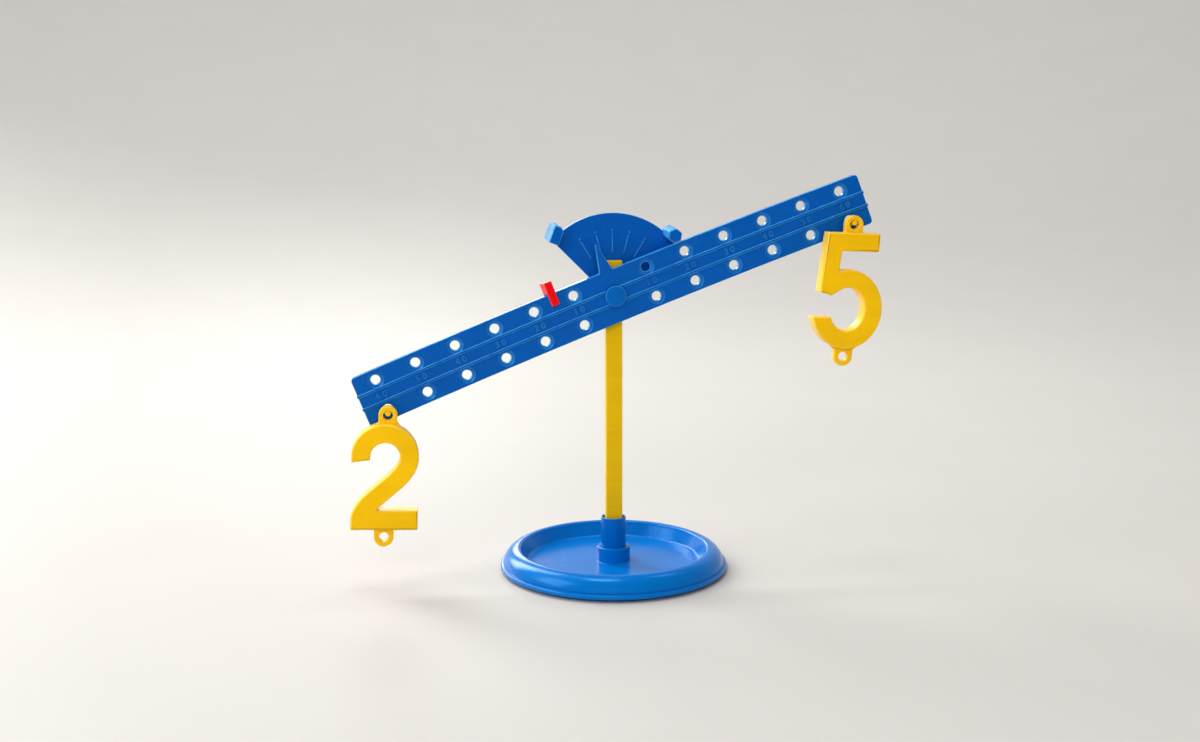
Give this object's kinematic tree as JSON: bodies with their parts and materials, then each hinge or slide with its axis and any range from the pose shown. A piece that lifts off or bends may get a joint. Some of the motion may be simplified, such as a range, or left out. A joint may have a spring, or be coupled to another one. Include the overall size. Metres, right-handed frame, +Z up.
{
  "type": "number balance",
  "caption": "Teaching balance on a round dish base: a tilting beam with two rows of peg holes, a scale fan, a rider and hanging digits.",
  "frame": {"origin": "middle of the base's underside, on the post's axis", "axes": "+Z up along the post, +X along the beam to its raised end, the beam's face and the digits towards -Y"},
  "size_m": [0.4062, 0.177, 0.3045],
  "materials": {
    "beam_blue": "satin",
    "base_blue": "glossy",
    "yellow": "satin",
    "red": "satin"
  },
  "bodies": {
    "stand": {"base_dish": "base_blue", "post_socket": "beam_blue", "post": "yellow", "fan_scale": "beam_blue", "pivot_pin": "beam_blue", "spacer_washer": "beam_blue", "retaining_cap": "beam_blue"},
    "beam": {"beam": "beam_blue", "hook_left": "yellow", "hook_right": "yellow"},
    "rider": {"rider": "red"},
    "number_2": {"number_2": "yellow"},
    "number_5": {"number_5": "yellow"}
  },
  "joints": [
    {"name": "beam_pivot", "type": "hinge", "parent": "stand", "child": "beam", "pos_m": [0, 0, 0.215], "axis": [0, 1, 0], "range_deg": [0, 42.2]},
    {"name": "rider_slide", "type": "slide", "parent": "beam", "child": "rider", "axis": [0.933, 0, 0.36], "range_m": [-0.155, 0.0215]},
    {"name": "number_2_swing", "type": "hinge", "parent": "beam", "child": "number_2", "pos_m": [-0.1716, -0.0197, 0.13191], "axis": [0, 1, 0], "range_deg": [-60, 60]},
    {"name": "number_5_swing", "type": "hinge", "parent": "beam", "child": "number_5", "pos_m": [0.18199, -0.0197, 0.26835], "axis": [0, 1, 0], "range_deg": [-60, 60]}
  ]
}
